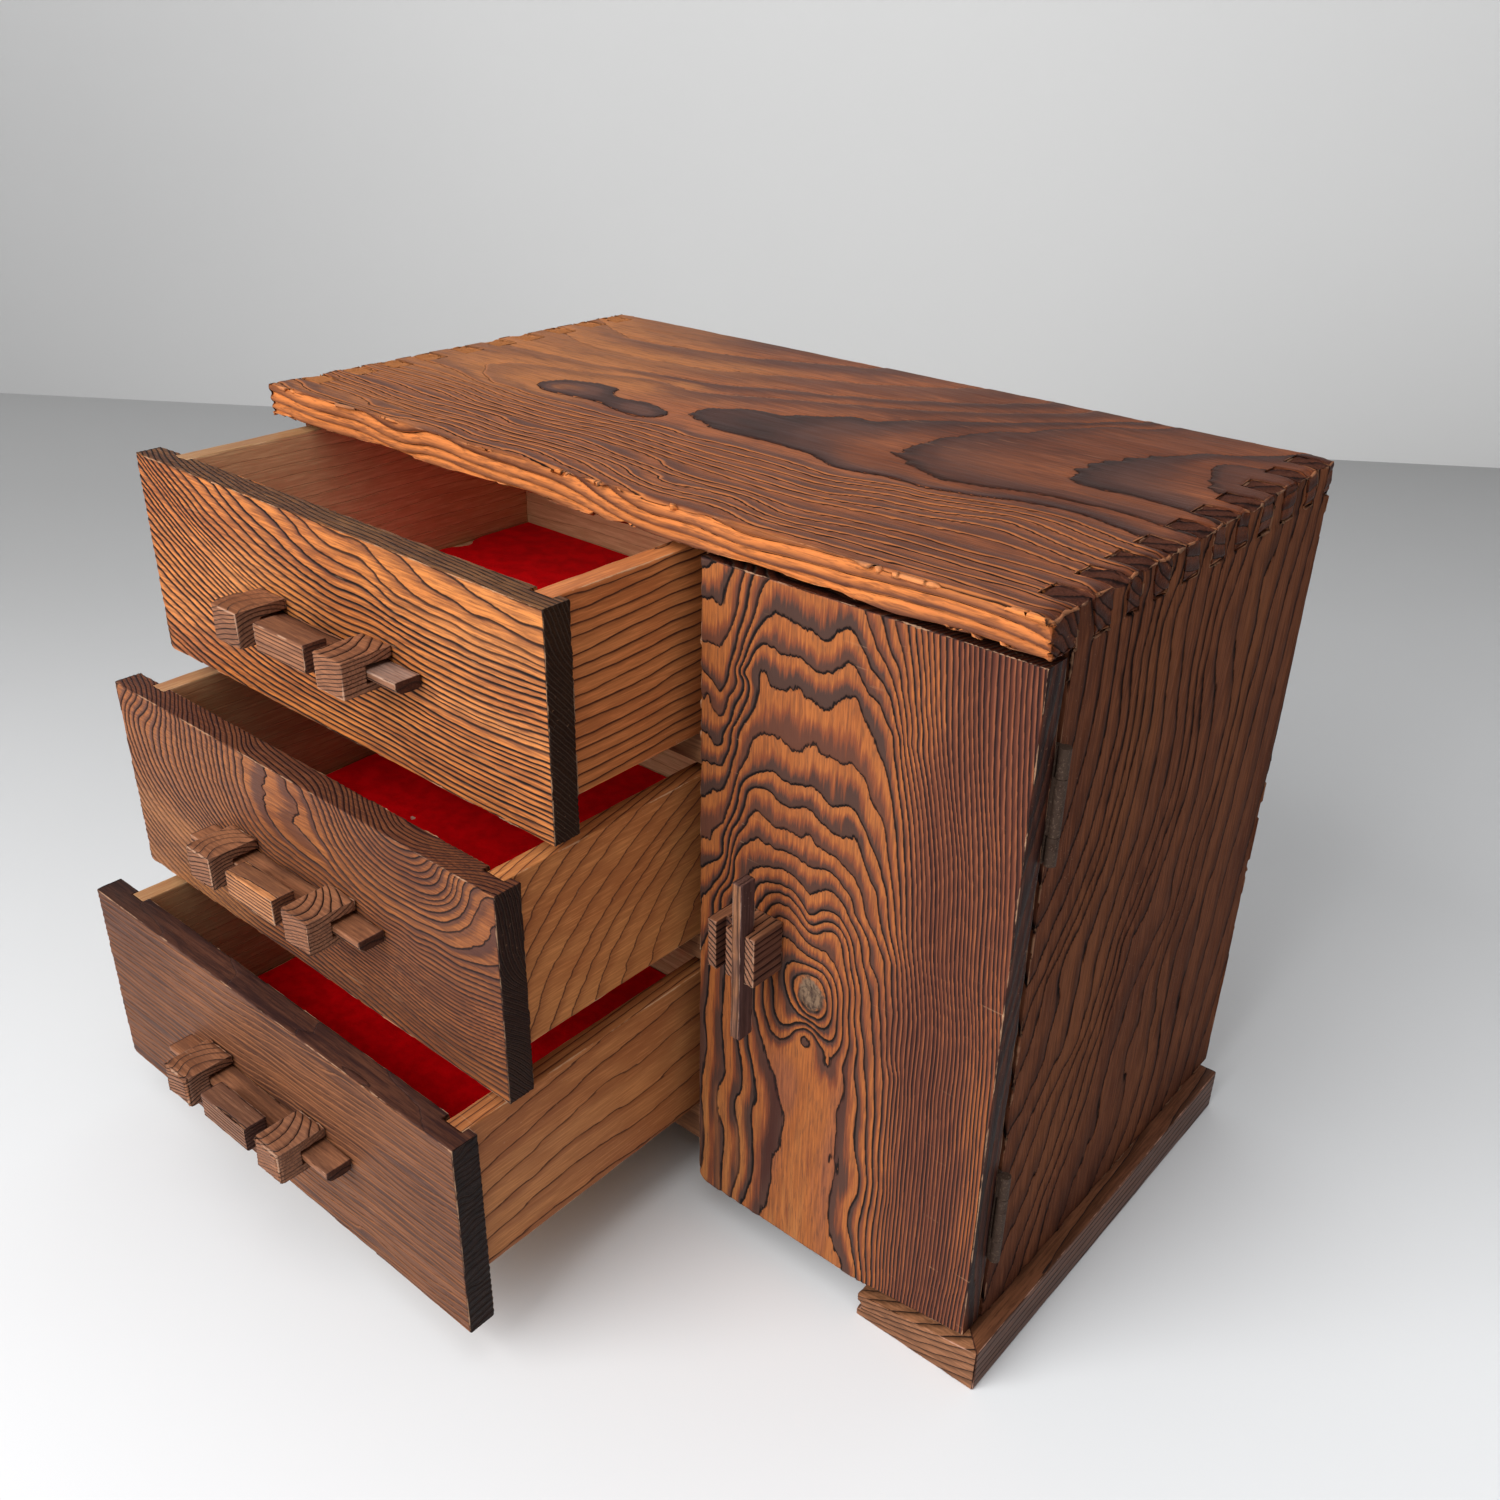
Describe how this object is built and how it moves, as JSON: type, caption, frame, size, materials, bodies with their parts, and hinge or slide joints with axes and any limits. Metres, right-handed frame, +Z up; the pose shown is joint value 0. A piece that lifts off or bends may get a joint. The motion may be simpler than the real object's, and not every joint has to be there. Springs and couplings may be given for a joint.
{
  "type": "tansu cabinet",
  "caption": "Small table-top tansu chest of brushed burnt wood: open drawers with red felt beside one full-height door, on a bracket-footed plinth.",
  "frame": {"origin": "middle of the bounding box's underside, at the level of the surface it stands on, with the drawers open as in the picture", "axes": "+X along the cabinet's width towards the door, +Y from the front to the back, +Z up"},
  "size_m": [0.364, 0.3244, 0.286],
  "materials": {
    "burnt_wood": "burnt and brushed softwood, dark raised grain, satin",
    "inner_wood": "planed softwood, unfinished",
    "drawer_wood": "planed softwood with fine dark grain, thin oil",
    "plinth_wood": "dark stained softwood, worn corners",
    "aged_iron": "dull, aged, slightly rusted",
    "catch_plastic": "matte brown",
    "red_felt": "short-pile felt"
  },
  "bodies": {
    "case": {"top_board": "burnt_wood", "side_panel_left": "burnt_wood", "side_panel_right": "burnt_wood", "divider": "inner_wood", "bottom_board": "inner_wood", "shelf_upper": "inner_wood", "shelf_lower": "inner_wood", "back_panel": "inner_wood", "back_nails": "aged_iron", "plinth_rail_left": "plinth_wood", "plinth_rail_right": "plinth_wood", "plinth_rail_back": "plinth_wood", "plinth_foot_left": "plinth_wood", "plinth_foot_right": "plinth_wood", "hinge_upper_case_leaf": "aged_iron", "hinge_lower_case_leaf": "aged_iron", "hinge_pins": "aged_iron", "case_hinge_screws": "aged_iron", "catch_block": "catch_plastic", "catch_screws": "aged_iron"},
    "door": {"door_panel": "burnt_wood", "door_pull_block": "burnt_wood", "door_pull_bar": "burnt_wood", "hinge_upper_door_leaf": "aged_iron", "hinge_lower_door_leaf": "aged_iron", "door_hinge_screws": "aged_iron", "catch_plate": "aged_iron", "catch_plate_screw": "aged_iron"},
    "top_drawer": {"drawer_top_front": "burnt_wood", "drawer_top_side_left": "drawer_wood", "drawer_top_side_right": "drawer_wood", "drawer_top_back": "drawer_wood", "drawer_top_bottom": "drawer_wood", "drawer_top_felt": "red_felt", "drawer_top_pull_bar": "burnt_wood", "drawer_top_pull_post_left": "burnt_wood", "drawer_top_pull_post_right": "burnt_wood", "drawer_top_pull_block": "burnt_wood"},
    "middle_drawer": {"drawer_middle_front": "burnt_wood", "drawer_middle_side_left": "drawer_wood", "drawer_middle_side_right": "drawer_wood", "drawer_middle_back": "drawer_wood", "drawer_middle_bottom": "drawer_wood", "drawer_middle_felt": "red_felt", "drawer_middle_pull_bar": "burnt_wood", "drawer_middle_pull_post_left": "burnt_wood", "drawer_middle_pull_post_right": "burnt_wood", "drawer_middle_pull_block": "burnt_wood"},
    "bottom_drawer": {"drawer_bottom_front": "burnt_wood", "drawer_bottom_side_left": "drawer_wood", "drawer_bottom_side_right": "drawer_wood", "drawer_bottom_back": "drawer_wood", "drawer_bottom_bottom": "drawer_wood", "drawer_bottom_felt": "red_felt", "drawer_bottom_pull_bar": "burnt_wood", "drawer_bottom_pull_post_left": "burnt_wood", "drawer_bottom_pull_post_right": "burnt_wood", "drawer_bottom_pull_block": "burnt_wood"}
  },
  "joints": [
    {"name": "top_drawer_slide", "type": "slide", "parent": "case", "child": "top_drawer", "axis": [0, -1, 0], "range_m": [-0.0609, 0.0746]},
    {"name": "middle_drawer_slide", "type": "slide", "parent": "case", "child": "middle_drawer", "axis": [0, -1, 0], "range_m": [-0.086, 0.0495]},
    {"name": "bottom_drawer_slide", "type": "slide", "parent": "case", "child": "bottom_drawer", "axis": [0, -1, 0], "range_m": [-0.1105, 0.025]},
    {"name": "door_hinge", "type": "hinge", "parent": "case", "child": "door", "pos_m": [0.1771, -0.02145, 0.14755], "axis": [0, 0, 1], "range_deg": [0, 180]}
  ]
}
